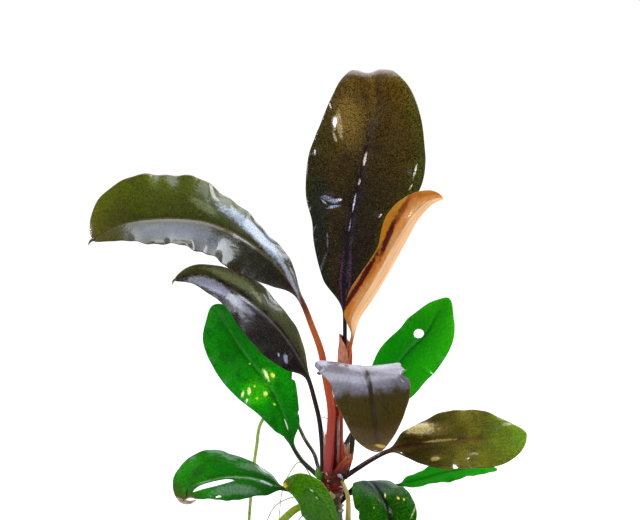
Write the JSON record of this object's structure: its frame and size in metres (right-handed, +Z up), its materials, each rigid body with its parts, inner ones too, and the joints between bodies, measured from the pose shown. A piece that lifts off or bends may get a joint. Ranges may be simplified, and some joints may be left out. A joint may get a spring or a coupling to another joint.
{
  "type": "bucephalandra plant",
  "caption": "Small aquarium plant with long-stalked glossy leaves, dark olive above and green below, on a short upright rhizome with its roots.",
  "frame": {"origin": "middle of the flat cut face under the rhizome, on the surface that the plant stands on", "axes": "+Z up along the stem, +X to the right and -Y towards the viewer with the tall leaf at the back"},
  "size_m": [0.1085, 0.0525, 0.1273],
  "materials": {
    "rhizome_bark": "wet satin",
    "old_sheath": "satin",
    "young_sheath": "satin",
    "bud": "satin",
    "leaf_dark_olive": "wet gloss",
    "leaf_orange": "wet gloss",
    "leaf_olive_arching": "wet gloss",
    "leaf_purple_brown": "wet gloss",
    "leaf_green_spotted": "wet gloss",
    "leaf_green_old": "wet gloss",
    "leaf_green_bright": "wet gloss",
    "leaf_olive_folded": "wet gloss",
    "leaf_olive_right": "wet gloss",
    "leaf_green_edge_on": "wet gloss",
    "leaf_green_small": "wet gloss",
    "leaf_green_dark": "wet gloss",
    "root_yellow": "satin",
    "root_yellow_green": "satin",
    "root_pale_green": "satin",
    "root_tan": "satin"
  },
  "bodies": {
    "root": {"rhizome": "rhizome_bark", "bract_orange": "old_sheath", "sheath_spiked": "young_sheath", "bud_green": "bud", "leaf_upright": "leaf_dark_olive", "leaf_young_rolled": "leaf_orange", "leaf_upper_left": "leaf_olive_arching", "leaf_middle_left": "leaf_purple_brown", "leaf_green_left": "leaf_green_spotted", "leaf_low_left_slotted": "leaf_green_old", "leaf_green_right_holed": "leaf_green_bright", "leaf_front_bent": "leaf_olive_folded", "leaf_right_olive": "leaf_olive_right", "leaf_right_green_edge": "leaf_green_edge_on", "leaf_front_low_left": "leaf_green_small", "leaf_front_low_right": "leaf_green_dark", "root_front_yellow": "root_yellow", "root_left_green": "root_yellow_green", "root_aerial_green": "root_pale_green", "root_prop_back_left": "root_tan", "root_prop_back_right": "root_tan", "root_prop_right": "root_tan"}
  },
  "joints": []
}
